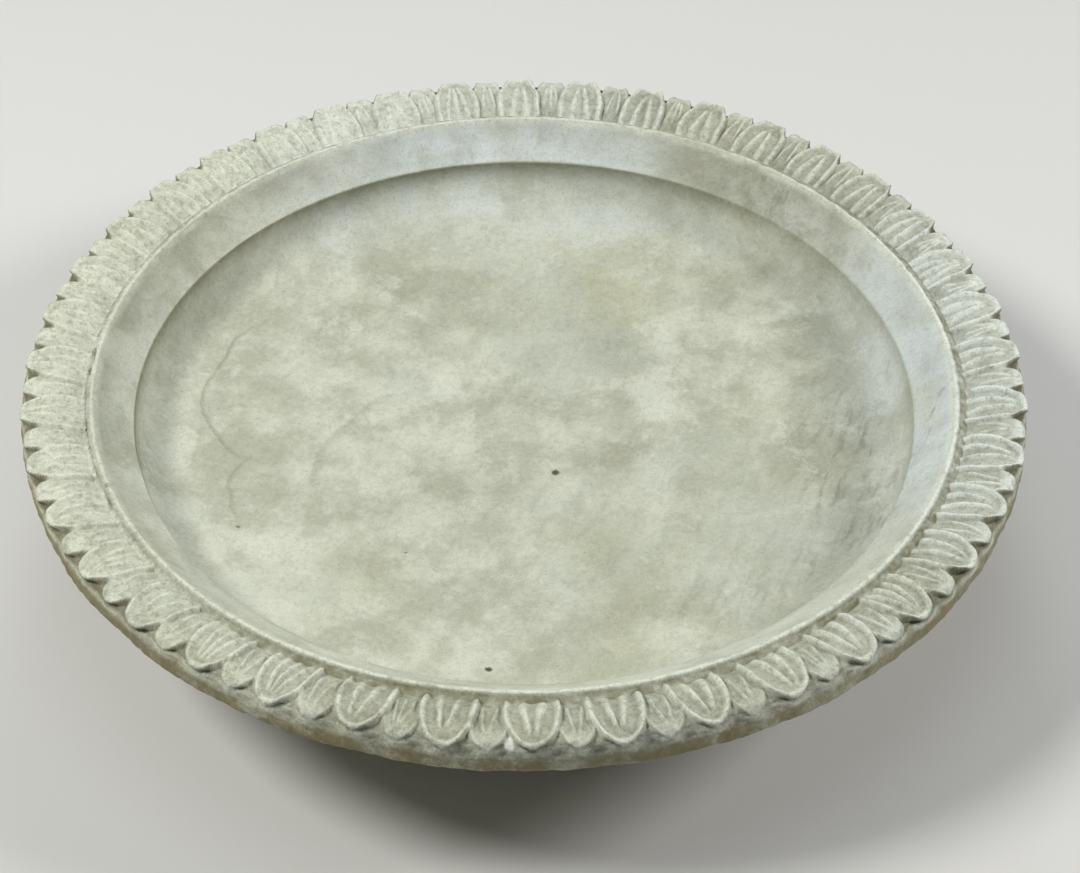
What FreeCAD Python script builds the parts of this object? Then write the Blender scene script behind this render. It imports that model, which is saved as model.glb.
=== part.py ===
import FreeCAD, Part
import math
import os

from FreeCAD import Vector

# Bird bath bowl in cast stone, in millimetres.
#
# The bowl is one casting: a shallow dish with a coved edge, a sloping inner wall, a narrow crest, and a
# rounded rim that carries ribbed leaves with pointed leaves between them. Below, a belly runs down to a
# flat foot with a round socket for a pedestal's spigot. A cage of steel wire lies inside the casting:
# hoops and bent radial bars, spot-welded where they cross.
#
# Frame: origin at the middle of the foot, +Z up along the bowl's axis. The middle of a leaf lies on +X.

# Driving dimensions
OVERALL_DIAMETER = 560.0
CREST_HEIGHT = 104.0
BASIN_DEPTH = 54.0
LEAF_COUNT = 40
SOCKET_DIAMETER = 76.0
SOCKET_DEPTH = 18.0
WIRE_DIAMETER = 4.0
RADIAL_BAR_COUNT = 8

# Basin and inner wall, as radii and heights
FLOOR_Z = CREST_HEIGHT - BASIN_DEPTH
COVE_RADIUS = 24.0
STEP_RADIUS = 219.4
STEP_Z = CREST_HEIGHT - 19.1
STEP_RISER = 1.5
STEP_ROUNDING = 0.7

# Crest, and the groove outside it
CREST_INNER = 239.2
CREST_ROUNDING = 0.8
CREST_OUTER = 241.9
GROOVE_INNER = 242.8
GROOVE_OUTER = 244.4
GROOVE_Z = CREST_HEIGHT - 1.8

# Rim band: the leaf tops lie on two arcs that meet at the crown; other levels are measured down from them
BAND_ROOT = (244.8, CREST_HEIGHT - 1.2)
BAND_CROWN = (268.0, CREST_HEIGHT + 6.0)
BAND_TIP = (278.6, CREST_HEIGHT - 2.5)
PIT_LEVEL = 4.2
POINTED_LEAF_LEVEL = 1.5
CAP_OVERLAP = 0.5

# Leaf outlines, root to tip: radius from the axis and half width
BROAD_LEAF = ((244.8, 11.9), (253.0, 13.6), (262.0, 13.0), (269.0, 9.8), (275.5, 5.6), (279.6, 1.2))
POINTED_LEAF = ((244.8, 9.2), (258.0, 9.0), (266.0, 7.4), (272.0, 5.0), (276.6, 2.4), (279.6, 0.6))
LEAF_ROOT_OVERRUN = 4.0

# Flutes in the leaves: places along the band (0 root, 1 tip) with the scoop's radius at each
FLUTE_DEPTH = 1.3
FLUTE_FAN = 13.0
BROAD_FLUTE = ((0.10, 3.5), (0.45, 2.6), (0.80, 1.5))
POINTED_FLUTE = ((0.15, 2.6), (0.50, 2.2), (0.86, 1.4))

# Lip below the leaves
LIP_RADIUS = OVERALL_DIAMETER / 2
LIP_TOP = CREST_HEIGHT - 4.2
LIP_BOTTOM = CREST_HEIGHT - 15.0
LIP_ROUNDING = 1.6

# Belly and foot
BELLY_TOP = (258.0, CREST_HEIGHT - 24.0)
BELLY_LOW = (112.0, 9.5)
BELLY_LOW_SLOPE = 3.5
FOOT_RADIUS = 106.0
FOOT_HEIGHT = 5.0
FOOT_CHAMFER = 1.5
SOCKET_CHAMFER = 2.0

# Wire cage: the bars' centreline, inner end to outer end, and the radius at which each hoop crosses it
BAR_ROUTE = ((46.0, 29.0), (104.0, 29.0), (165.0, 35.5), (195.0, 43.0), (221.0, 57.5), (256.0, 94.0))
BAR_BEND_RADIUS = 60.0
WELD_BITE = 0.3
HOOP_RADII = {"base_hoop": 62.0, "belly_hoop": 150.0, "shoulder_hoop": 200.0, "rim_hoop": 250.0}

AXIS = Vector(0, 0, 1)
ORIGIN = Vector(0, 0, 0)
PITCH = 360.0 / LEAF_COUNT
# The ornamented rim is built apart from the dish, outside this radius, then the two are made one
RIM_SPLIT = (GROOVE_INNER + GROOVE_OUTER) / 2
BELOW_RIM = 60.0
ABOVE_RIM = 150.0


def at(point):
    """A point of the bowl's section, (radius, height), in the XZ plane."""
    return Vector(point[0], 0, point[1])


def line(a, b):
    return Part.LineSegment(at(a), at(b)).toShape()


def arc(a, through, b):
    return Part.Arc(at(a), at(through), at(b)).toShape()


def chain(*points):
    return [line(a, b) for a, b in zip(points, points[1:])]


def turned(shape, angle):
    copy = shape.copy()
    copy.rotate(ORIGIN, AXIS, angle)
    return copy


def revolved(edges, start=0.0, turn=360.0):
    """The solid swept by a closed section turning about the axis."""
    face = Part.Face(Part.Wire(Part.__sortEdges__(edges)))
    return turned(face, start).revolve(ORIGIN, AXIS, turn)


# Belly

def belly_arc():
    """The belly's radius of curvature, and the slope in radians at each of its ends."""
    run = BELLY_TOP[0] - BELLY_LOW[0]
    rise = BELLY_TOP[1] - BELLY_LOW[1]
    low = math.radians(BELLY_LOW_SLOPE)
    chord = math.atan2(rise, run)
    radius = math.hypot(run, rise) / (2 * math.sin(chord - low))
    return radius, low, 2 * chord - low


def belly_point(slope):
    """The belly's point where it climbs at this slope, in radians."""
    radius, low, _ = belly_arc()
    return (
        BELLY_LOW[0] + radius * (math.sin(slope) - math.sin(low)),
        BELLY_LOW[1] + radius * (math.cos(low) - math.cos(slope)),
    )


def belly_slope(at_radius):
    radius, low, _ = belly_arc()
    return math.asin(math.sin(low) + (at_radius - BELLY_LOW[0]) / radius)


# Dish: everything inside the groove

def basin_edges():
    """The basin's floor, cove, step and sloping wall, from the axis to the crest."""
    cove_centre = (STEP_RADIUS - COVE_RADIUS, STEP_Z - STEP_RISER)
    bend = COVE_RADIUS * math.sqrt(0.5)
    floor_edge = (cove_centre[0], cove_centre[1] - COVE_RADIUS)
    floor_middle = (floor_edge[0] / 2, FLOOR_Z + (floor_edge[1] - FLOOR_Z) / 4)
    cove_middle = (cove_centre[0] + bend, cove_centre[1] - bend)
    cove_top = (STEP_RADIUS, cove_centre[1])
    return [
        arc((0, FLOOR_Z), floor_middle, floor_edge),
        arc(floor_edge, cove_middle, cove_top),
    ] + chain(
        cove_top,
        (STEP_RADIUS, STEP_Z - STEP_ROUNDING),
        (STEP_RADIUS + STEP_ROUNDING, STEP_Z),
        (CREST_INNER, CREST_HEIGHT - CREST_ROUNDING),
        (CREST_INNER + CREST_ROUNDING, CREST_HEIGHT),
        (CREST_OUTER, CREST_HEIGHT),
        (GROOVE_INNER, GROOVE_Z),
        (RIM_SPLIT, GROOVE_Z),
    )


def foot_edges():
    """The foot's side and flat, and the pedestal's socket, from the belly to the axis."""
    foot_top = (FOOT_RADIUS, FOOT_HEIGHT)
    fillet = (FOOT_RADIUS + 2.0, FOOT_HEIGHT + 2.8)
    socket = SOCKET_DIAMETER / 2
    return [arc(BELLY_LOW, fillet, foot_top)] + chain(
        foot_top,
        (FOOT_RADIUS, FOOT_CHAMFER),
        (FOOT_RADIUS - FOOT_CHAMFER, 0),
        (socket + SOCKET_CHAMFER, 0),
        (socket, SOCKET_CHAMFER),
        (socket, SOCKET_DEPTH),
        (0, SOCKET_DEPTH),
        (0, FLOOR_Z),
    )


def dish():
    _, low, _ = belly_arc()
    split = belly_slope(RIM_SPLIT)
    belly = arc(belly_point(split), belly_point((split + low) / 2), BELLY_LOW)
    split_line = line((RIM_SPLIT, GROOVE_Z), belly_point(split))
    return revolved(basin_edges() + [split_line, belly] + foot_edges())


# Rim

def band_arc(end):
    """The arc from the crown to one end of the band: its centre's height and its radius."""
    run = end[0] - BAND_CROWN[0]
    drop = BAND_CROWN[1] - end[1]
    radius = (run * run + drop * drop) / (2 * drop)
    return BAND_CROWN[1] - radius, radius


def band_point(share, level=0.0):
    """A point of the band's section: share 0 at the root, 0.5 at the crown and 1 at the tips."""
    end = BAND_ROOT if share < 0.5 else BAND_TIP
    centre_z, radius = band_arc(end)
    full = math.asin((end[0] - BAND_CROWN[0]) / radius)
    angle = full * abs(2 * share - 1)
    return (
        BAND_CROWN[0] + (radius - level) * math.sin(angle),
        centre_z + (radius - level) * math.cos(angle),
    )


def band_edges(level):
    """The band's two arcs at a level below the leaf tops."""
    root, rise, crown, turn, tip = [band_point(k / 4, level) for k in range(5)]
    return [arc(root, rise, crown), arc(crown, turn, tip)]


def rim_core():
    """One pitch of the rim up to the bottoms of the pits, with the lip and the underside."""
    _, _, high = belly_arc()
    split = belly_slope(RIM_SPLIT)
    side = LIP_RADIUS
    inset = side - LIP_ROUNDING
    corner = LIP_ROUNDING * (1 - math.sqrt(0.5))
    upper = LIP_TOP - LIP_ROUNDING
    lower = LIP_BOTTOM + LIP_ROUNDING
    edges = band_edges(PIT_LEVEL) + [
        line(band_point(1, PIT_LEVEL), (inset, LIP_TOP)),
        arc((inset, LIP_TOP), (side - corner, LIP_TOP - corner), (side, upper)),
        line((side, upper), (side, lower)),
        arc((side, lower), (side - corner, LIP_BOTTOM + corner), (inset, LIP_BOTTOM)),
        line((inset, LIP_BOTTOM), BELLY_TOP),
        arc(BELLY_TOP, belly_point((split + high) / 2), belly_point(split)),
    ]
    edges += chain(
        belly_point(split),
        (RIM_SPLIT, GROOVE_Z),
        (GROOVE_OUTER, GROOVE_Z),
        band_point(0, PIT_LEVEL),
    )
    return revolved(edges, -PITCH / 2, PITCH)


def cap(level):
    """The layer from just under the pits' bottoms up to a level, wider than one pitch."""
    under = PIT_LEVEL + CAP_OVERLAP
    ends = [line(band_point(share, level), band_point(share, under)) for share in (0, 1)]
    return revolved(band_edges(level) + band_edges(under) + ends, -PITCH, 2 * PITCH)


def leaf_prism(outline):
    """An upright prism on a leaf's outline, with the leaf's middle along +X."""
    edges = []
    for side in (1, -1):
        curve = Part.BSplineCurve()
        curve.interpolate([Vector(r, side * half, BELOW_RIM) for r, half in outline])
        edges.append(curve.toShape())
    root_r, root_half = outline[0]
    tip_r, tip_half = outline[-1]
    inner = root_r - LEAF_ROOT_OVERRUN
    ends = (
        [(root_r, root_half), (inner, root_half), (inner, -root_half), (root_r, -root_half)],
        [(tip_r, tip_half), (tip_r, -tip_half)],
    )
    for points in ends:
        corners = [Vector(r, half, BELOW_RIM) for r, half in points]
        edges += [Part.LineSegment(a, b).toShape() for a, b in zip(corners, corners[1:])]
    face = Part.Face(Part.Wire(Part.__sortEdges__(edges)))
    return face.extrude(Vector(0, 0, ABOVE_RIM - BELOW_RIM))


def flute(stations, level, fan=0.0):
    """A tapering scoop that follows the band's curve and fans out from beyond the leaf's tip."""
    rings = []
    for share, radius in stations:
        here = at(band_point(share))
        along = (at(band_point(share + 0.01)) - here).normalize()
        up = Vector(-along.z, 0, along.x)
        centre = here + up * (radius - FLUTE_DEPTH - level)
        rings.append(Part.Wire(Part.makeCircle(radius, centre, along)))
    scoop = Part.makeLoft(rings, True)
    scoop.rotate(Vector(BAND_TIP[0] + LEAF_ROOT_OVERRUN, 0, 0), AXIS, fan)
    return scoop


def broad_leaf():
    fans = (-FLUTE_FAN, 0.0, FLUTE_FAN)
    flutes = Part.makeCompound([flute(BROAD_FLUTE, 0.0, fan) for fan in fans])
    return cap(0.0).common(leaf_prism(BROAD_LEAF)).cut(flutes)


def pointed_leaf():
    whole = cap(POINTED_LEAF_LEVEL).common(leaf_prism(POINTED_LEAF))
    return whole.cut(flute(POINTED_FLUTE, POINTED_LEAF_LEVEL))


def rim_pitch():
    """One pitch of the rim: a broad leaf in the middle and half a pointed leaf on each side."""
    sector = revolved(
        chain(
            (RIM_SPLIT, BELOW_RIM),
            (LIP_RADIUS + LEAF_ROOT_OVERRUN, BELOW_RIM),
            (LIP_RADIUS + LEAF_ROOT_OVERRUN, ABOVE_RIM),
            (RIM_SPLIT, ABOVE_RIM),
            (RIM_SPLIT, BELOW_RIM),
        ),
        -PITCH / 2,
        PITCH,
    )
    half_leaves = [turned(pointed_leaf(), side * PITCH / 2).common(sector) for side in (-1, 1)]
    return rim_core().multiFuse([broad_leaf()] + half_leaves)


def casting(wires):
    """The whole casting, cast close round every wire of the cage."""
    pitch = rim_pitch()
    rim = [turned(pitch, k * PITCH) for k in range(LEAF_COUNT)]
    return dish().multiFuse(rim).cut(Part.makeCompound(wires))


# Wire cage

def bar_centreline():
    """Straight runs with a tangent arc at each bend."""
    points = [at(p) for p in BAR_ROUTE]
    edges = []
    last = points[0]
    for before, corner, after in zip(points, points[1:], points[2:]):
        back = (before - corner).normalize()
        onward = (after - corner).normalize()
        half = back.getAngle(onward) / 2
        middle = (back + onward).normalize()
        reach = BAR_BEND_RADIUS / math.tan(half)
        start = corner + back * reach
        end = corner + onward * reach
        through = corner + middle * (BAR_BEND_RADIUS / math.sin(half) - BAR_BEND_RADIUS)
        edges.append(Part.LineSegment(last, start).toShape())
        edges.append(Part.Arc(start, through, end).toShape())
        last = end
    edges.append(Part.LineSegment(last, points[-1]).toShape())
    return Part.Wire(edges)


def hoop(centreline, radius):
    """A hoop of wire on top of the bars where they pass this radius."""
    crossing = centreline.distToShape(line((radius, 0), (radius, CREST_HEIGHT)))[1][0][0]
    edge = min(centreline.Edges, key=lambda e: e.distToShape(Part.Vertex(crossing))[0])
    along = edge.tangentAt(edge.Curve.parameter(crossing))
    if along.x < 0:
        along = along * -1
    centre = crossing + Vector(-along.z, 0, along.x) * (WIRE_DIAMETER - WELD_BITE)
    return Part.makeTorus(centre.x, WIRE_DIAMETER / 2, Vector(0, 0, centre.z), AXIS)


def cage():
    """The hoops and the bars, by name. Each bar is notched where it is welded to a hoop."""
    centreline = bar_centreline()
    wires = {name: hoop(centreline, radius) for name, radius in HOOP_RADII.items()}
    start = at(BAR_ROUTE[0])
    section = Part.makeCircle(WIRE_DIAMETER / 2, start, at(BAR_ROUTE[1]) - start)
    bar = centreline.makePipeShell([Part.Wire(section)], True, True)
    notched = bar.cut(Part.makeCompound(list(wires.values())))
    for k in range(RADIAL_BAR_COUNT):
        angle = (k + 0.5) * 360.0 / RADIAL_BAR_COUNT
        wires["radial_bar_%d" % (k + 1)] = turned(notched, angle)
    return wires


os.makedirs("parts", exist_ok=True)
nodes = cage()
nodes["bowl_casting"] = casting(list(nodes.values()))
for name, shape in nodes.items():
    solid = shape.Solids[0]
    print(name, len(shape.Solids), solid.isValid(), "%.1f mm3" % solid.Volume, len(solid.Faces), "faces")
    solid.exportStep("parts/%s.step" % name)
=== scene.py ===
import math
import random

import bmesh
import bpy
from mathutils import Matrix, Vector, noise


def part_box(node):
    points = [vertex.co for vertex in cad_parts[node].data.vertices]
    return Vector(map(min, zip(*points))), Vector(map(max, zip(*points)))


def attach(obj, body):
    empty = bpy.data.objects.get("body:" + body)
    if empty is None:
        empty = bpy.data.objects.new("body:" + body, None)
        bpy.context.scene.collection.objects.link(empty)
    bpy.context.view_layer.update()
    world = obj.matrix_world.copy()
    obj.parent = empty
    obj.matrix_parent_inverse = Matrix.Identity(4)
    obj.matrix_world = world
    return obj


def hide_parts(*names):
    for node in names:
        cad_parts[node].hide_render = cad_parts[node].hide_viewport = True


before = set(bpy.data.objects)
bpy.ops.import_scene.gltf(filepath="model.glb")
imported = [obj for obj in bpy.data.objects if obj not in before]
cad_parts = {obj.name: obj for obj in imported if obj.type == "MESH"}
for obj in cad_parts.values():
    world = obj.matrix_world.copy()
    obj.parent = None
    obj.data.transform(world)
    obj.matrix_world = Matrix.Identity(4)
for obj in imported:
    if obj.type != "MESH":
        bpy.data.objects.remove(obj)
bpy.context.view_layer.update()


# Camera. It looks down on the bowl from in front, 1.2 m from the middle of the crest, with a short
# telephoto lens. A slight turn about the bowl's axis puts the leaves where they belong.

mm = 0.001
leaf_tops = 6.0
crest_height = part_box("bowl_casting")[1].z - leaf_tops * mm

camera_distance = 912.0 * mm
camera_rise = 789.5 * mm
camera_aim = Vector((8.3 * mm, -61.0 * mm, crest_height))
camera_roll = 0.0071
camera_turn = math.radians(-0.84)
sensor_width = 36.0
focal_length = 71.56

camera_data = bpy.data.cameras.new("camera")
camera_data.sensor_width = sensor_width
camera_data.lens = focal_length
camera = bpy.data.objects.new("camera", camera_data)
bpy.context.scene.collection.objects.link(camera)
eye = Vector((0.0, -camera_distance, crest_height + camera_rise))
look = (camera_aim - eye).to_track_quat("-Z", "Y").to_matrix().to_4x4()
roll = Matrix.Rotation(camera_roll, 4, "Z")
camera.matrix_world = Matrix.Rotation(camera_turn, 4, "Z") @ Matrix.Translation(eye) @ look @ roll
bpy.context.scene.camera = camera


# Bowl casting. One piece of cast stone, tamped into a mould and taken out by hand, so no two leaves are
# alike. It is spun from its section, the rim is divided finely, and then the leaves, the pits between
# their tips, the chips along the crest and the unevenness of the rest are worked into it.

# Lengths are in millimetres. A section's points are (radius, height), with heights measured from the
# crest, except that belly_low and the foot are measured from the ground.

leaf_count = 40
pitch = math.tau / leaf_count
spokes = 9 * leaf_count
basin_depth = 54.0
cove_radius = 24.0
step_radius = 219.4
step_edge = 219.7
step_drop = 19.1
band_root = (244.8, -1.2)
band_crown = (268.0, leaf_tops)
band_tip = (278.8, -2.5)
band_fullness = 3.4
belly_top = (258.0, -24.0)
belly_low = (112.0, 9.5)
belly_low_slope = math.radians(3.5)
foot_radius = 106.0
socket_radius = 38.0
socket_depth = 18.0
crest_z = crest_height / mm


def bend(centre, radius, start, end, count):
    """Points on an arc of the section, with its angles in degrees from straight out."""
    angles = [math.radians(start + (end - start) * k / (count - 1)) for k in range(count)]
    return [(centre[0] + radius * math.cos(a), centre[1] + radius * math.sin(a)) for a in angles]


def basin_section():
    """From the middle of the basin's floor out through the cove and up to the top of its wall."""
    edge_r = step_radius - cove_radius
    edge_z = -step_drop - 1.5 - cove_radius
    floor_radii = [edge_r * share for share in (0, 0.13, 0.28, 0.43, 0.57, 0.7, 0.82, 0.92)]
    floor = [(r, -basin_depth + (edge_z + basin_depth) * (r / edge_r) ** 2) for r in floor_radii]
    cove = bend((edge_r, edge_z + cove_radius), cove_radius, -90, 0, 8)
    step = [(219.5, -19.5), (219.9, -19.15), (220.8, -18.5)]
    wall = [(224.4, -15.0), (228.4, -11.2), (232.4, -7.35), (236.2, -3.7), (238.5, -1.5)]
    return floor + cove + step + wall


def evenly(points, count):
    """The same line through fewer points, all the same distance apart."""
    steps = [math.dist(a, b) for a, b in zip(points, points[1:])]
    picked = [points[0]]
    gone = 0.0
    for step, point in zip(steps, points[1:]):
        gone += step
        if gone >= sum(steps) * len(picked) / (count - 1) - 1e-6 and len(picked) < count:
            picked.append(point)
    return picked


def band_section():
    """The band under the leaves, level with their tops: it rises to its crown and turns down late."""
    run = band_root[0] - band_crown[0]
    drop = band_crown[1] - band_root[1]
    radius = (run * run + drop * drop) / (2 * drop)
    full = math.asin(run / radius)
    points = []
    for share in (1, 0.96, 0.9, 0.82, 0.73, 0.63, 0.53, 0.43, 0.33, 0.23, 0.12):
        angle = full * share
        r = band_crown[0] + radius * math.sin(angle)
        points.append((r, band_crown[1] - radius * (1 - math.cos(angle))))
    width = band_tip[0] - band_crown[0]
    height = band_crown[1] - band_tip[1]
    shoulder = []
    fine_steps = 400
    for k in range(fine_steps + 1):
        angle = math.pi / 2 * k / fine_steps
        r = band_crown[0] + width * math.sin(angle) ** (2 / band_fullness)
        shoulder.append((r, band_tip[1] + height * max(math.cos(angle), 0.0) ** (2 / band_fullness)))
    return points + evenly(shoulder, 15)


def belly_section(count):
    """One arc from under the lip down to the foot, steep at its top and nearly flat at its bottom."""
    run = belly_top[0] - belly_low[0]
    rise = crest_z + belly_top[1] - belly_low[1]
    chord = math.atan2(rise, run)
    radius = math.hypot(run, rise) / (2 * math.sin(chord - belly_low_slope))
    points = []
    for k in range(count):
        slope = belly_low_slope + 2 * (chord - belly_low_slope) * (1 - k / (count - 1))
        r = belly_low[0] + radius * (math.sin(slope) - math.sin(belly_low_slope))
        z = belly_low[1] + radius * (math.cos(belly_low_slope) - math.cos(slope))
        points.append((r, z - crest_z))
    return points


crest_section = [(239.15, -0.8), (239.5, -0.2), (240.1, 0.05), (240.9, 0.1), (241.6, -0.1), (242.1, -0.7)]
groove_section = [(242.6, -1.6), (243.4, -2.1), (244.2, -1.8)]
lip_section = [
    (279.0, -4.2), (278.6, -6.0), (278.5, -7.9), (278.7, -9.8), (278.6, -11.8), (277.8, -13.7),
    (275.2, -15.7), (268.0, -19.2),
]
foot_section = [
    (109.5, 8.9), (107.2, 7.4), (foot_radius, 5.0), (foot_radius, 2.0), (105.3, 0.5), (104.0, 0.0),
    (40.2, 0.0), (38.6, 0.7), (socket_radius, 2.0), (socket_radius, socket_depth - 1.0),
    (socket_radius - 1.0, socket_depth), (0.0, socket_depth),
]
section = {
    "basin": basin_section(),
    "crest": crest_section,
    "groove": groove_section,
    "band": band_section(),
    "lip": lip_section,
    "belly": belly_section(8),
    "foot": [(r, z - crest_z) for r, z in foot_section],
}
stations = [(zone, r, z) for zone, points in section.items() for r, z in points]


def outward(place):
    """The section's unit normal at a station, pointing out of the stone."""
    before = stations[max(place - 1, 0)]
    after = stations[min(place + 1, len(stations) - 1)]
    along = Vector((after[1] - before[1], after[2] - before[2])).normalized()
    return Vector((-along.y, along.x))


def run_across():
    """How far each station of the band lies from the band's root, along the section."""
    runs = {}
    total = 0.0
    last = None
    for place, (zone, r, z) in enumerate(stations):
        if zone == "band":
            total += math.dist(last, (r, z)) if last else 0.0
            last = (r, z)
            runs[place] = total
    return runs


across_at = run_across()
normals = [outward(place) for place in range(len(stations))]

bm = bmesh.new()
station_layer = bm.verts.layers.float.new("station")
chain = []
for place, (_, r, z) in enumerate(stations):
    corner = bm.verts.new((r, 0.0, z))
    corner[station_layer] = place
    chain.append(corner)
edges = [bm.edges.new(pair) for pair in zip(chain, chain[1:])]
bmesh.ops.spin(
    bm, geom=chain + edges, cent=(0, 0, 0), axis=(0, 0, 1), angle=math.tau, steps=spokes, use_merge=True
)
bmesh.ops.remove_doubles(bm, verts=bm.verts, dist=1e-4)


def divide_rings(zones, cuts):
    """Divides the edges that run round the bowl in these zones."""
    chosen = []
    for edge in bm.edges:
        a, b = (round(v[station_layer]) for v in edge.verts)
        if a == b and stations[a][0] in zones:
            chosen.append(edge)
    bmesh.ops.subdivide_edges(bm, edges=chosen, cuts=cuts, use_single_edge=True, use_grid_fill=True)


divide_rings(("crest", "groove", "band", "lip"), 2)
divide_rings(("band", "lip"), 1)

chance = random.Random(11)


def smooth(start, end, x):
    """Eases from 0 at start to 1 at end, whichever of them is larger."""
    t = min(max((x - start) / (end - start), 0.0), 1.0)
    return t * t * (3 - 2 * t)


def mix(a, b, share):
    return a + (b - a) * share


def facing(angle, direction):
    """1 where the rim lies in this direction, in degrees, and -1 on the opposite side."""
    return math.cos(angle - math.radians(direction))


def uneven(point, size, seed=0.0):
    """Smooth random relief from -1 to 1 with features of about this size."""
    return noise.noise(Vector((point[0] / size + seed, point[1] / size - seed, point[2] / size)))


def new_leaf():
    """One leaf's own proportions, in millimetres."""
    return {
        "half": chance.uniform(0.95, 1.04),
        "tip": chance.uniform(-0.7, 0.6),
        "lean": chance.uniform(-0.9, 0.9),
        "relief": chance.uniform(0.85, 1.1),
        "rib_shift": chance.uniform(-0.7, 0.7),
        "gather": chance.uniform(-1.4, 1.4),
        "rib_end": chance.uniform(26.0, 31.0),
        "rib_width": chance.uniform(0.85, 1.15),
        "ribs": 3 if chance.random() < 0.22 else 2,
    }


broad_leaves = [new_leaf() for _ in range(leaf_count)]
pointed_leaves = [new_leaf() for _ in range(leaf_count)]
pits = [(chance.uniform(0.6, 1.15), chance.uniform(-0.9, 0.9)) for _ in range(2 * leaf_count)]

# Directions round the rim, in degrees: 0 is right, 90 is behind and -90 is in front
front = -90
# The rim is most worn towards this side, and painted lighter there as painted light
worn_lit_side = 165
# Painted shade under the step and on the wall is deepest towards this side
shade_side = 150
# Painted sheen is strongest towards these two sides
sheen_right = -4
sheen_back = 98
dirty_side = -42

# A leaf's half width, and how far its widest place and its tip lie from the band's root
broad_shape = (13.7, 10.0, 37.4)
pointed_shape = (9.2, 20.0, 38.2)


def inside(across, aside, shape):
    """How far a point lies inside a leaf's outline, negative outside it."""
    half, widest, tip = shape
    if across <= widest:
        back = (widest - across) / widest
        return half * (1 - 0.05 * back ** 2) - abs(aside)
    share = math.hypot(aside / half, (across - widest) / (tip - widest))
    if share < 0.02:
        return half
    return math.hypot(aside, across - widest) * (1 / share - 1)


def bell(distance, width):
    return math.exp(-((distance / width) ** 2))


def rib_profile(across, aside, leaf, places, spread):
    """The ribs' share of their full height: wide and round at the root, drawing together to a point."""
    end = leaf["rib_end"]
    along = min(max(across / end, 0.0), 1.3)
    width = mix(2.4, 0.85, along) * leaf["rib_width"] * spread
    fade = smooth(1.03, 0.86, along) * mix(0.5, 1.0, smooth(0.0, 0.4, along))
    draw_in = mix(1.0, 0.3, along) + 0.12 * math.sin(math.pi * min(along, 1.0))
    shift = leaf["rib_shift"] + leaf["gather"] * along
    profile = 0.0
    for place in places:
        away = abs(aside - shift - place * draw_in)
        profile = max(profile, math.exp(-((away / width) ** 2.4)))
    return profile * fade


def broad_relief(across, aside, leaf):
    """A broad leaf's height, how much of it is there, how near a ridge's top it is, and its outline."""
    half, widest, tip = broad_shape
    aside = aside - leaf["lean"] * across / tip
    depth = inside(across, aside, (half * leaf["half"], widest, tip + leaf["tip"]))
    there = smooth(-0.7, 0.5, depth)
    if there == 0.0:
        return 0.0, 0.0, 0.0, depth
    tipward = smooth(0.5, 1.0, across / tip)
    border = smooth(4.3 + 0.8 * tipward, 1.4 + 0.5 * tipward, depth)
    places = (-6.4, 0.0, 6.4) if leaf["ribs"] == 3 else (-4.7, 4.7)
    ribs = rib_profile(across, aside, leaf, places, 0.85 if leaf["ribs"] == 3 else 1.0)
    ribs *= smooth(2.2, 4.0, depth)
    ridge = max(border, ribs)
    height = (-2.3 + 2.3 * ridge) * leaf["relief"] + 1.3 * ridge * smooth(27.0, 34.0, across)
    return height, there, ridge, depth


def pointed_relief(across, aside, leaf):
    """The same for the lower leaf that shows between two broad ones."""
    half, widest, tip = pointed_shape
    depth = inside(across, aside, (half * leaf["half"], widest, tip + leaf["tip"]))
    there = smooth(-1.0, 0.7, depth)
    if there == 0.0:
        return 0.0, 0.0, 0.0, depth
    border = smooth(2.6, 1.2, depth)
    places = (-5.2, -0.6, 4.4) if leaf["ribs"] == 3 else (-3.9, 3.9)
    ribs = rib_profile(across, aside, leaf, places, 0.75) * smooth(1.8, 3.4, depth)
    ridge = max(0.45 * border, ribs * smooth(2.0, 9.0, across))
    height = mix(-2.9, -1.2, smooth(16.0, 35.0, across)) + 1.5 * ridge * leaf["relief"]
    return height, there, ridge, depth


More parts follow.
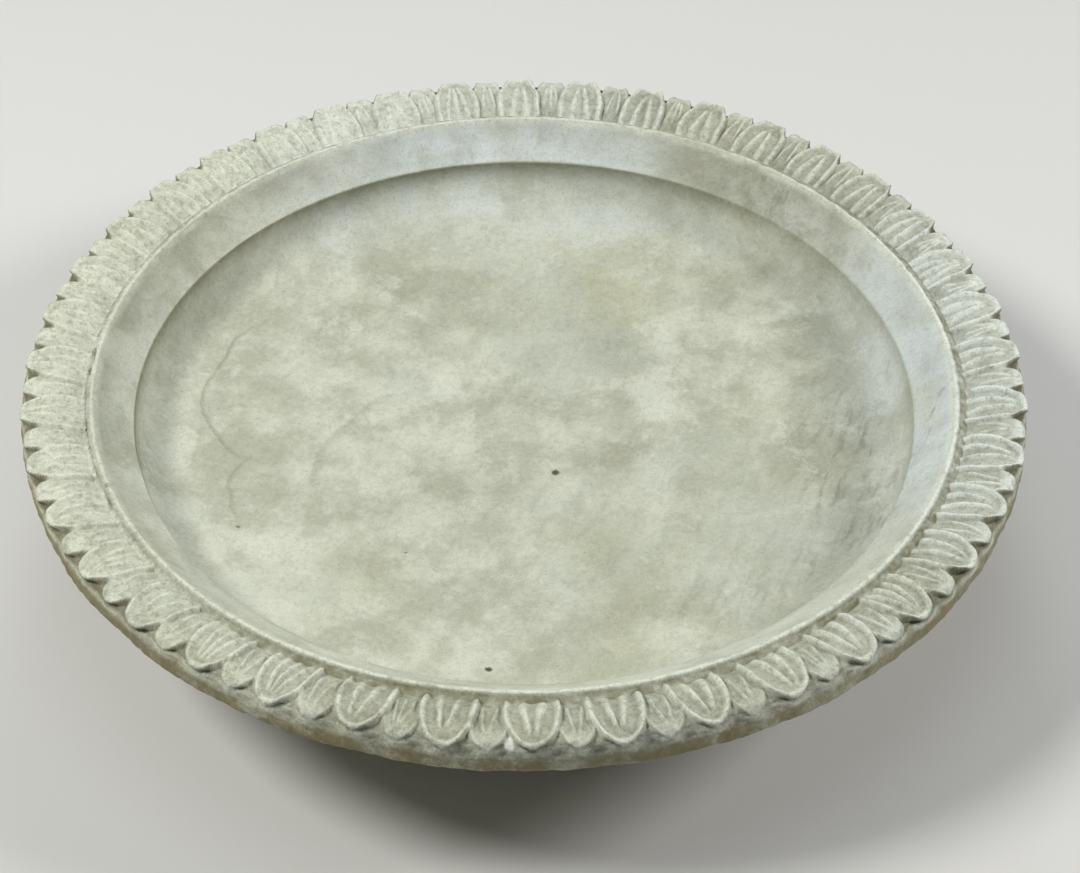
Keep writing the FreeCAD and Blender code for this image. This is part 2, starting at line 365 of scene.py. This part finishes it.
def band_relief(across, angle, radius, worn_and_lit, point):
    """Height over the band's section, with the dirt that belongs to it and a painted highlight on ridge
    tops and worn edges.
    """
    turn = angle / pitch
    nearest = round(turn)
    between = math.floor(turn)
    stray = 0.5 * uneven(point, 9.0, 31.0) + 0.3 * uneven(point, 4.0, 17.0)
    aside = (turn - nearest) * pitch * radius + stray
    aside_pointed = (turn - between - 0.5) * pitch * radius + stray
    across += 0.6 * uneven(point, 10.0, 53.0)
    near_side = smooth(0.6, 0.95, facing(angle, front))
    tips = max(bell(aside, 8.0), 0.9 * bell(aside_pointed, 6.0))
    height = mix(mix(-3.2, -2.4, near_side), mix(-2.2, 0.0, tips), smooth(36.5, 39.5, across))
    # light is a painted highlight on the ridge tops and along the tips' edge, partly paler worn stone
    light = 0.3 * smooth(36.0, 37.5, across) * smooth(40.5, 38.5, across)
    leaf = pointed_leaves[between % leaf_count]
    relief, pointed_there, ridge, pointed_depth = pointed_relief(across, aside_pointed, leaf)
    relief -= 0.3 * near_side * smooth(24.0, 34.0, across)
    height = mix(height, relief, pointed_there)
    light = mix(light, mix(0.75, 0.35, near_side) * ridge, pointed_there)
    relief, there, ridge, depth = broad_relief(across, aside, broad_leaves[nearest % leaf_count])
    crevice = bell(depth + 1.1, 0.9) * smooth(1.0, 7.0, across) if depth < 0.6 else 0.0
    crevice *= 1 - 0.5 * near_side
    deep, shift = pits[math.floor(turn * 2) % len(pits)]
    end = 40.6 + 0.7 * shift - 3.4 * near_side
    pit_zone = smooth(24.0, 28.5, across) * smooth(end, end - 1.6, across)
    pit = (1 - there) * (1 - pointed_there) * pit_zone
    pit_dirt = smooth(1.5, 0.2, depth) * smooth(1.5, 0.2, pointed_depth) * pit_zone
    relief -= 0.8 * ridge * max(uneven(point, 4.2, 83.0), 0.0)
    height = mix(height - 0.6 * crevice - mix(1.1, 0.9, near_side) * deep * pit, relief, there)
    light = mix(light * (1 - pit), ridge, there)
    root = smooth(-2.4, 0.0, across)
    height = mix(-1.0, height, root)
    height = mix(height, mix(-1.3, height, 0.6), worn_and_lit * (1 - pit))
    valley = smooth(-1.2, -2.2, height) * (1 - pit)
    pit_dirt *= mix(0.7 + 0.35 * deep, 0.42, near_side)
    dirt = max(pit_dirt, mix(0.5, 0.25, worn_and_lit) * crevice, mix(0.46, 0.16, worn_and_lit) * valley)
    return height, dirt, light * root


def worn_and_lit_at(angle):
    """The left of the rim is the most weathered, with the lowest relief, and it is painted lighter there as
    painted light from the lamp on the left.
    """
    return 0.85 * smooth(-0.1, 0.75, facing(angle, worn_lit_side))


def sheen_at(angle):
    """Painted sheen: the wall and the rim are painted paler and bluer most on the right and at the back,
    where cool light glances off them.
    """
    right = facing(angle, sheen_right)
    back = facing(angle, sheen_back)
    return max(smooth(0.72, 0.97, right), 0.9 * smooth(0.75, 0.97, back), 0.25 * smooth(-0.1, 0.8, right))


def dirty_at(angle):
    """Dirt stays in the groove on the right and in front. On the left the groove is filled and clean."""
    return smooth(-0.45, 0.35, facing(angle, dirty_side))


# Chips along the crest: angle, half width and depth. The last three are the larger ones in front
chip_count = 70
chips = [
    (chance.uniform(0, math.tau), chance.uniform(0.8, 3.2), chance.uniform(0.25, 0.9))
    for _ in range(chip_count)
]
chips += [(math.radians(-88), 7.0, 1.1), (math.radians(-94), 4.0, 0.9), (math.radians(-79), 3.0, 0.8)]


def chip_depth(angle, radius):
    """How deep the deepest chip is here."""
    depth = 0.0
    for where, half, deep in chips:
        away = (angle - where + math.pi) % math.tau - math.pi
        depth = max(depth, deep * bell(away * radius, half))
    return depth


# Colour attributes: dirt with painted shade, painted highlights with worn edges, painted sheen, where the
# stone is coarse, and soil with painted shade
dirt_and_shade_layer = bm.verts.layers.float.new("dirt_and_shade")
bright_layer = bm.verts.layers.float.new("bright")
sheen_layer = bm.verts.layers.float.new("sheen")
coarse_layer = bm.verts.layers.float.new("coarse")
soil_and_shade_layer = bm.verts.layers.float.new("soil_and_shade")

# How far the relief may push the band out, and the height below which the lip's edge wavers
band_most_out = 0.3
lip_edge = -11.0

for vert in bm.verts:
    place = round(vert[station_layer])
    zone, r, z = stations[place]
    angle = math.atan2(vert.co.y, vert.co.x)
    spoke = Vector((math.cos(angle), math.sin(angle)))
    point = (spoke.x * r, spoke.y * r, z)
    normal = normals[place]
    lift = dirt_and_shade = bright = sheen = soil_and_shade = 0.0
    if zone == "basin":
        lift = 0.7 * uneven(point, 75.0) + 0.3 * uneven(point, 28.0, 3.0)
        lift *= smooth(0.0, 12.0, 243.0 - r)
        near_side = smooth(0.2, 0.8, facing(angle, front))
        # Painted highlight along the top of the wall and on the near wall, which faces away from the lamps
        bright = max(smooth(237.0, 239.0, r), 0.6 * near_side * smooth(219.5, 224.0, r))
        # Painted shadow in the cove under the step edge, with some dirt, deepest on the left and at the
        # back
        shaded = smooth(-0.4, 0.5, facing(angle, shade_side))
        cove_shade_and_dirt = mix(0.2, 0.42, shaded) * smooth(-34.0, -22.0, z)
        step_shadow_and_dirt = mix(0.1, 0.5, shaded) * smooth(-27.0, -20.5, z)
        below_step = smooth(step_edge, 219.3, r) * (1 - near_side)
        dirt_and_shade = (cove_shade_and_dirt + step_shadow_and_dirt) * below_step
        above_step = smooth(219.5, 221.0, r)
        # Painted sheen on the wall and the outer floor
        sheen = sheen_at(angle) * max(above_step, 0.5 * smooth(170.0, 215.0, r))
        sheen *= mix(0.85, 1.2, smooth(-0.3, 0.4, uneven(point, 34.0, 13.0)))
        if r > step_edge:
            dirt_and_shade = 0.34 * max(uneven(point, 26.0, 61.0), 0.0) + 0.24 * max(uneven(point, 12.0, 67.0), 0.0)
            dirt_and_shade *= smooth(220.0, 226.0, r)
            # Painted shade on the upper wall on the left and at the back
            dirt_and_shade += 0.2 * shaded * smooth(226.0, 237.0, r)
    elif zone in ("crest", "groove"):
        lift = 0.35 * uneven(point, 9.0) + 0.18 * uneven(point, 3.5, 5.0)
        dirty = dirty_at(angle)
        # Painted sheen on the rim
        sheen = 0.7 * sheen_at(angle) * (1 - 0.5 * smooth(0.5, 0.9, spoke.y))
        if zone == "crest":
            lift -= chip_depth(angle, r)
            # Painted highlight along the crest, partly paler worn stone
            bright = smooth(242.2, 241.0, r) * (0.6 + 0.4 * dirty)
            dirt_and_shade = 0.35 * dirty * smooth(241.8, 242.2, r)
        else:
            lift += 0.4 + 0.9 * (1 - dirty)
            patchy = 0.85 + 0.3 * uneven(point, 7.0, 41.0) + 0.4 * uneven(point, 2.5, 43.0)
            dirt_and_shade = mix(0.15, 0.9, dirty) * patchy
    elif zone == "band":
        across = across_at[place]
        worn_and_lit = worn_and_lit_at(angle)
        lift, dirt_and_shade, bright = band_relief(across, angle % math.tau, r, worn_and_lit, point)
        lift += 0.4 * uneven(point, 11.0) + 0.3 * uneven(point, 3.6, 7.0)
        # Painted sheen on the band, strongest on the ridge tops
        white = sheen_at(angle) * (0.6 + 0.4 * bright) * (1 - 0.5 * smooth(0.5, 0.9, spoke.y))
        bright *= 0.85 + 0.5 * uneven(point, 5.0, 71.0)
        # On the left the band is painted lighter, as painted light falling from the lamp there
        bright = max(bright, 0.25, worn_and_lit * (0.9 + 0.25 * bright), white)
        sheen = 0.75 * white
        near_side = smooth(0.3, 0.9, facing(angle, front))
        root_dirt = dirty_at(angle) * (0.8 + mix(0.3, 1.1, near_side) * uneven(point, 6.0, 23.0))
        dirt_and_shade = max(dirt_and_shade, root_dirt * smooth(0.9 + 0.9 * near_side, 0.2, across))
        # Painted shade with soil at the band's outer edge, above the lip
        soil_and_shade = mix(0.5, 0.15, near_side) * smooth(37.5, 41.0, across)
    elif zone == "lip":
        lift = 0.7 * uneven(point, 26.0, 2.0) + 0.5 * uneven(point, 9.0) + 0.4 * uneven(point, 3.2)
        lift *= smooth(-18.5, -14.0, z) * 0.8 + 0.2
        # Painted shade with soil: darker down the lip's face, and darker on its sides, where the side lamps
        # light it
        soil_and_shade = mix(0.75 + 0.25 * abs(spoke.x), 1.0, smooth(-5.0, -12.5, z))
        dirt_and_shade = 0.72 * smooth(0.4, 0.8, abs(spoke.x)) * (0.9 + 0.4 * uneven(point, 9.0, 37.0))
    elif zone == "belly":
        lift = 0.5 * uneven(point, 60.0)
        # Painted shade with soil under the rim, darkest just below the lip
        soil_and_shade = 0.8 - 0.4 * smooth(258.0, 200.0, r)
    new_r = r + (min(lift, band_most_out) if zone == "band" else lift) * normal.x
    new_z = z + lift * normal.y
    if zone == "lip" and z < lip_edge:
        around = (spoke.x * 300, spoke.y * 300, 0.0)
        new_z += 0.5 * uneven(around, 14.0, 9.0) * smooth(lip_edge, -14.0, z)
    vert.co = (spoke.x * new_r * mm, spoke.y * new_r * mm, (new_z + crest_z) * mm)
    vert[dirt_and_shade_layer] = min(dirt_and_shade, 1.0)
    vert[bright_layer] = min(bright, 1.0)
    vert[sheen_layer] = sheen
    vert[coarse_layer] = smooth(236.0, 244.0, r) if zone != "foot" else 0.0
    vert[soil_and_shade_layer] = soil_and_shade

bmesh.ops.recalc_face_normals(bm, faces=bm.faces)
for face in bm.faces:
    face.smooth = True
bowl_mesh = bpy.data.meshes.new("bowl")
bm.to_mesh(bowl_mesh)
bm.free()
bowl = bpy.data.objects.new("bowl", bowl_mesh)
bpy.context.scene.collection.objects.link(bowl)


def put(tree, kind, inputs=None, output=0, **settings):
    """Adds a node, sets it and its inputs, and gives one of its outputs."""
    made = tree.nodes.new(kind)
    for key, value in settings.items():
        setattr(made, key, value)
    for key, value in (inputs or {}).items():
        if isinstance(value, bpy.types.NodeSocket):
            tree.links.new(value, made.inputs[key])
        else:
            made.inputs[key].default_value = value
    return made.outputs[output]


def blend_colours(tree, share, a, b):
    return put(tree, "ShaderNodeMix", {0: share, 6: a, 7: b}, output=2, data_type="RGBA")


def grow(tree, value, low, high, bottom=0.0, top=1.0):
    """Maps a value from one range to another, smoothly and within its ends."""
    sockets = {"Value": value, "From Min": low, "From Max": high, "To Min": bottom, "To Max": top}
    return put(tree, "ShaderNodeMapRange", sockets, interpolation_type="SMOOTHSTEP")


def sums(tree, operation, a, b):
    return put(tree, "ShaderNodeMath", {0: a, 1: b}, operation=operation)


def cloud(tree, place, scale, detail=4.0, roughness=0.55, distortion=0.0):
    sockets = {
        "Vector": place, "Scale": scale, "Detail": detail, "Roughness": roughness, "Distortion": distortion
    }
    return put(tree, "ShaderNodeTexNoise", sockets)


def new_material(name):
    material = bpy.data.materials.new(name)
    material.use_nodes = True
    tree = material.node_tree
    shader = tree.nodes["Principled BSDF"]
    place = put(tree, "ShaderNodeTexCoord", output=3)
    return material, tree, shader, place


def attribute(tree, name):
    return put(tree, "ShaderNodeAttribute", output=2, attribute_name=name)


def wander(tree, place, scale, amount):
    """Object coordinates pushed about a little, so that a mark's outline is not a plain curve."""
    push = put(tree, "ShaderNodeTexNoise", {"Vector": place, "Scale": scale, "Detail": 4.0}, output=1)
    push = put(tree, "ShaderNodeVectorMath", {0: push, 1: (0.5, 0.5, 0.5)}, operation="SUBTRACT")
    push = put(tree, "ShaderNodeVectorMath", {0: push, "Scale": amount * mm}, operation="SCALE")
    return put(tree, "ShaderNodeVectorMath", {0: place, 1: push}, operation="ADD")


def from_centre(tree, place, centre, half, turn=0.0):
    """Distance from a mark's middle, 1 on its outline. Sizes in millimetres, turned about the axis."""
    sockets = {
        "Vector": place,
        "Location": [length * mm for length in centre],
        "Rotation": (0, 0, math.radians(turn)),
        "Scale": [length * mm for length in half],
    }
    local = put(tree, "ShaderNodeMapping", sockets, vector_type="TEXTURE")
    return put(tree, "ShaderNodeVectorMath", {0: local}, output=1, operation="LENGTH")


def marks(tree, place, places, soft):
    """One mask for several marks, each with its middle, half lengths, turn and strength."""
    mask = None
    for centre, half, turn, strength in places:
        one = grow(tree, from_centre(tree, place, centre, half, turn), 1 + soft, 1 - soft, 0.0, strength)
        mask = sums(tree, "MAXIMUM", mask, one) if mask else one
    return mask


def cast_stone():
    """Grey-green cement stone: cloudy, stained where water stood, dirty in hollows, with painted sheen,
    painted shade and painted highlights.
    """
    material, tree, shader, place = new_material("cast_stone")
    loose = wander(tree, place, 45.0, 14.0)
    wide = cloud(tree, place, 7.0, 5.0, 0.62, 0.15)
    cool = cloud(tree, wander(tree, place, 6.0, 200.0), 9.0, 4.0, 0.6)
    middle = cloud(tree, place, 24.0, 7.0, 0.68, 0.1)
    small = cloud(tree, place, 95.0, 4.0, 0.7, 0.1)
    fine = cloud(tree, place, 300.0, 4.0, 0.75)
    grain = cloud(tree, place, 850.0, 3.0, 0.6)
    grey = (0.385, 0.395, 0.305, 1)
    pale = (0.56, 0.573, 0.468, 1)
    olive = (0.40, 0.395, 0.262, 1)
    blue_grey = (0.44, 0.47, 0.405, 1)
    sheen_blue_white = (0.62, 0.665, 0.66, 1)
    rim_sheen_white = (0.73, 0.775, 0.74, 1)
    highlight_and_worn_edge = (0.68, 0.70, 0.575, 1)
    stain_and_shade_green = (0.25, 0.252, 0.185, 1)
    drag_grey = (0.22, 0.22, 0.17, 1)
    tide_brown = (0.19, 0.19, 0.13, 1)
    pinhole_black = (0.075, 0.075, 0.05, 1)
    dark_smear = (0.3, 0.3, 0.212, 1)
    pale_smear = (0.6, 0.615, 0.525, 1)
    dark_grain = (0.2, 0.2, 0.145, 1)
    pale_grain = (0.74, 0.76, 0.64, 1)
    dirt_and_shade_olive = (0.155, 0.148, 0.082, 1)
    soil_and_shade_brown = (0.245, 0.215, 0.112, 1)
    chip_white = (0.86, 0.86, 0.79, 1)
    colour = blend_colours(tree, grow(tree, middle, 0.36, 0.64), grey, pale)
    colour = blend_colours(tree, grow(tree, wide, 0.5, 0.72, 0.0, 0.65), colour, olive)
    colour = blend_colours(tree, grow(tree, cool, 0.5, 0.7, 0.0, 0.6), colour, blue_grey)

    # Painted sheen, stains with painted shade, and drag marks. Each mark has its middle, half lengths, turn
    # in degrees and strength
    # Painted sheen: paler and bluer on the wall, the rim and in patches on the far floor
    sheen = sums(tree, "MULTIPLY", attribute(tree, "sheen"), grow(tree, middle, 0.25, 0.6, 0.55, 1.0))
    sheen_patches = [((45, 190, 60), (52, 22, 30), -4, 0.42), ((118, 168, 66), (30, 12, 30), -40, 0.2)]
    sheen = sums(tree, "MAXIMUM", sheen, marks(tree, loose, sheen_patches, 0.6))
    colour = blend_colours(tree, sheen, colour, sheen_blue_white)
    # The first two marks are painted shade on the right of the floor and in the cove at the back right. The
    # next five are water stains, and the last darkens the wall high at the back right.
    stains_and_shade = [
        ((178, -20, 60), (34, 95, 40), 8, 0.42),
        ((150, 120, 62), (60, 34, 40), -42, 0.4),
        ((-58, 120, 54), (75, 26, 40), 14, 0.25),
        ((-60, -70, 52), (42, 30, 40), 30, 0.22),
        ((38, -150, 56), (46, 14, 40), 5, 0.22),
        ((45, -20, 50), (24, 14, 40), 0, 0.3),
        ((60, 62, 51), (52, 22, 40), 8, 0.2),
        ((152, 174, 92), (64, 24, 14), -48, 0.75),
    ]
    stain_and_shade = marks(tree, loose, stains_and_shade, 0.55)
    stain_and_shade = sums(tree, "MULTIPLY", stain_and_shade, grow(tree, middle, 0.7, 0.35, 0.35, 1.0))
    colour = blend_colours(tree, stain_and_shade, colour, stain_and_shade_green)
    sockets = {"Vector": loose, "Rotation": (0, 0, math.radians(66)), "Scale": (30 * mm, 6 * mm, 20 * mm)}
    drag = put(tree, "ShaderNodeMapping", sockets, vector_type="TEXTURE")
    drag = cloud(tree, drag, 1.0, 4.0, 0.6, 0.2)
    places = [
        ((184, -50, 62), (32, 84, 40), 10, 0.6),
        ((120, -130, 60), (70, 26, 40), 35, 0.35),
        ((10, 0, 54), (200, 200, 60), 0, 0.13),
    ]
    drag = sums(tree, "MULTIPLY", grow(tree, drag, 0.46, 0.68), marks(tree, loose, places, 0.5))
    colour = blend_colours(tree, drag, colour, drag_grey)

    # Two tide lines and a fold line: parts of rings, each shown only inside its own mask
    tide_place = wander(tree, place, 22.0, 22.0)
    for centre, half, turn, mask in (
        ((-140, 38, 57), (46, 67, 60), -18, ((-184, 30, 58), (40, 72, 30), 0, 0.42)),
        ((-122, -50, 57), (47, 47, 60), 0, ((-170, -48, 57), (20, 28, 30), 0, 0.34)),
        ((-40, -40, 54), (80, 80, 60), 0, ((-106, 0, 55), (26, 52, 30), -30, 0.26)),
    ):
        ring = from_centre(tree, tide_place, centre, half, turn)
        line = sums(tree, "MULTIPLY", grow(tree, ring, 0.92, 0.985), grow(tree, ring, 1.014, 0.99))
        line = sums(tree, "MULTIPLY", line, marks(tree, loose, [mask], 0.4))
        colour = blend_colours(tree, line, colour, tide_brown)

    # Scratches on the wall, pinholes in the floor and gaps along the crest, painted near black as painted
    # shade in these hollows
    scratches = [
        ((232, -21, 98), (1.5, 3.4, 5), -40, 0.32),
        ((226, -33, 93), (0.8, 5.5, 7), -26, 0.4),
        ((222, -48, 90), (0.7, 6, 7), -24, 0.2),
        ((17, -34, 50), (1.9, 2.4, 6), 20, 1.0),
        ((-21, -187, 59), (1.7, 1.3, 6), -20, 1.0),
        ((-242.0, 12, 104), (0.6, 5.5, 4), 3, 0.75),
        ((-242.6, -4, 104), (0.6, 4, 4), -3, 0.7),
        ((-221, -95.5, 104), (1.7, 1.4, 4), 0, 0.9),
        ((-181.4, -157, 104), (1.8, 1.4, 4), 0, 0.9),
        ((-158, -82, 57), (0.8, 0.7, 6), 0, 0.6),
        ((-66, -98, 52), (0.7, 0.6, 6), 0, 0.6),
    ]
    scratch = marks(tree, wander(tree, place, 260.0, 3.0), scratches, 0.35)
    colour = blend_colours(tree, scratch, colour, pinhole_black)

    # Painted highlights on ridge tops and the crest, with worn edges, smears, painted sheen on the rim, and
    # the sand that shows as dark and pale grain
    bright = sums(tree, "MULTIPLY", attribute(tree, "bright"), grow(tree, small, 0.35, 0.66, 0.95, 0.6))
    colour = blend_colours(tree, bright, colour, highlight_and_worn_edge)
    smears = cloud(tree, wander(tree, place, 11.0, 60.0), 17.0, 6.0, 0.72)
    smooth_stone = grow(tree, attribute(tree, "coarse"), 0.0, 1.0, 1.0, 0.4)
    dark_smears = sums(tree, "MULTIPLY", grow(tree, smears, 0.54, 0.64, 0.0, 0.3), smooth_stone)
    colour = blend_colours(tree, dark_smears, colour, dark_smear)
    pale_smears = sums(tree, "MULTIPLY", grow(tree, smears, 0.46, 0.36, 0.0, 0.55), smooth_stone)
    colour = blend_colours(tree, pale_smears, colour, pale_smear)
    coarse = attribute(tree, "coarse")
    # Painted sheen on the rim
    rim_sheen = sums(tree, "MULTIPLY", sums(tree, "MULTIPLY", attribute(tree, "sheen"), coarse), 0.95)
    colour = blend_colours(tree, rim_sheen, colour, rim_sheen_white)
    specks = sums(tree, "MULTIPLY", grow(tree, small, 0.48, 0.7), grow(tree, coarse, 0.0, 1.0, 0.05, 0.28))
    colour = blend_colours(tree, specks, colour, dark_grain)
    specks = sums(tree, "MULTIPLY", grow(tree, fine, 0.51, 0.64), grow(tree, coarse, 0.0, 1.0, 0.16, 0.42))
    colour = blend_colours(tree, specks, colour, dark_grain)
    specks = sums(tree, "MULTIPLY", grow(tree, fine, 0.47, 0.36), grow(tree, coarse, 0.0, 1.0, 0.1, 0.42))
    colour = blend_colours(tree, specks, colour, pale_grain)
    specks = sums(tree, "MULTIPLY", grow(tree, grain, 0.54, 0.68), grow(tree, coarse, 0.0, 1.0, 0.3, 0.42))
    colour = blend_colours(tree, specks, colour, dark_grain)

    # Dirt and painted shade in the hollows, soil and painted shade under the rim, and one white chip in
    # front
    dirt_and_shade = sums(tree, "MULTIPLY", attribute(tree, "dirt_and_shade"), grow(tree, small, 0.25, 0.6, 0.65, 1.0))
    colour = blend_colours(tree, dirt_and_shade, colour, dirt_and_shade_olive)
    patches = cloud(tree, place, 60.0, 6.0, 0.75)
    soil_and_shade = sums(tree, "MULTIPLY", attribute(tree, "soil_and_shade"), grow(tree, patches, 0.38, 0.58, 0.2, 1.0))
    colour = blend_colours(tree, soil_and_shade, colour, soil_and_shade_brown)
    chip_place = [((-11.2, -273.6, 105), (2.7, 3.4, 3.2), 0, 1.0)]
    chip = marks(tree, wander(tree, place, 200.0, 3.0), chip_place, 0.3)
    colour = blend_colours(tree, chip, colour, chip_white)

    tree.links.new(colour, shader.inputs["Base Color"])
    shader.inputs["Specular IOR Level"].default_value = 0.25
    tree.links.new(grow(tree, fine, 0.3, 0.7, 0.82, 0.96), shader.inputs["Roughness"])
    rough = sums(tree, "MULTIPLY", fine, grow(tree, coarse, 0.0, 1.0, 0.5, 1.15))
    rough = sums(tree, "ADD", rough, sums(tree, "MULTIPLY", grain, 0.3))
    rough = sums(tree, "ADD", rough, sums(tree, "MULTIPLY", middle, 0.9))
    rough = sums(tree, "SUBTRACT", rough, sums(tree, "ADD", scratch, sums(tree, "MULTIPLY", drag, 0.5)))
    bump = put(tree, "ShaderNodeBump", {"Height": rough, "Strength": 0.6, "Distance": 1.2 * mm})
    tree.links.new(bump, shader.inputs["Normal"])
    return material


bowl_mesh.materials.append(cast_stone())
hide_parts("bowl_casting")
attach(bowl, "root")


# Wire cage. Drawn steel wire with its mill scale and the thin rust that it had when the stone went round
# it. The CAD nodes keep their shapes, and only their finish is made here.

def steel_wire():
    material, tree, shader, place = new_material("steel_wire")
    dark_scale = (0.09, 0.09, 0.10, 1)
    pale_scale = (0.19, 0.18, 0.18, 1)
    rust = (0.22, 0.085, 0.035, 1)
    patches = cloud(tree, place, 60.0, 6.0, 0.7)
    mottle = grow(tree, cloud(tree, place, 300.0), 0.3, 0.7)
    scale = blend_colours(tree, mottle, dark_scale, pale_scale)
    colour = blend_colours(tree, grow(tree, patches, 0.48, 0.62), scale, rust)
    tree.links.new(colour, shader.inputs["Base Color"])
    tree.links.new(grow(tree, patches, 0.45, 0.62, 0.7, 0.0), shader.inputs["Metallic"])
    tree.links.new(grow(tree, patches, 0.45, 0.62, 0.45, 0.9), shader.inputs["Roughness"])
    bump = put(tree, "ShaderNodeBump", {"Height": patches, "Strength": 0.4, "Distance": 0.3 * mm})
    tree.links.new(bump, shader.inputs["Normal"])
    return material


wire_finish = steel_wire()
for name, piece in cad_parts.items():
    if name != "bowl_casting":
        piece.data.materials.clear()
        piece.data.materials.append(wire_finish)


# Floor and light. A pale floor, one soft light high on the left and one lower on the right, weaker ones
# behind and above, and a dim cool surround.

floor_half_width = 12.0
floor_colour = (0.62, 0.61, 0.59, 1)
surround_colour = (0.9, 0.95, 1.0, 1)
surround_strength = 0.1


def stage_floor():
    floor_mesh = bpy.data.meshes.new("floor")
    sheet = bmesh.new()
    bmesh.ops.create_grid(sheet, x_segments=1, y_segments=1, size=floor_half_width)
    sheet.to_mesh(floor_mesh)
    sheet.free()
    floor = bpy.data.objects.new("floor", floor_mesh)
    bpy.context.scene.collection.objects.link(floor)
    material, tree, shader, place = new_material("floor")
    shader.inputs["Base Color"].default_value = floor_colour
    shader.inputs["Roughness"].default_value = 0.7
    floor_mesh.materials.append(material)


stage_floor()


def soft_light(name, power, size, place, colour):
    """A round lamp aimed at the middle of the crest: power in watts, size and place in metres."""
    lamp = bpy.data.lights.new(name, "AREA")
    lamp.shape = "DISK"
    lamp.size = size
    lamp.energy = power
    lamp.color = colour
    light = bpy.data.objects.new(name, lamp)
    bpy.context.scene.collection.objects.link(light)
    light.location = place
    aim = Vector((0, 0, crest_height)) - Vector(place)
    light.rotation_euler = aim.to_track_quat("-Z", "Y").to_euler()


soft_light("key", 50.0, 0.8, (-1.6, -0.2, 2.0), (1.0, 1.0, 0.97))
soft_light("right", 38.0, 0.8, (2.1, 0.0, 1.5), (1.0, 1.0, 1.0))
soft_light("back", 9.0, 0.8, (0.0, 2.0, 1.4), (0.92, 0.97, 1.0))
soft_light("above", 8.0, 1.5, (0.0, 0.0, 2.5), (0.92, 0.97, 1.0))
world = bpy.data.worlds.new("surround")
world.use_nodes = True
background = world.node_tree.nodes["Background"]
background.inputs["Color"].default_value = surround_colour
background.inputs["Strength"].default_value = surround_strength
bpy.context.scene.world = world
bpy.context.scene.view_settings.view_transform = "Standard"
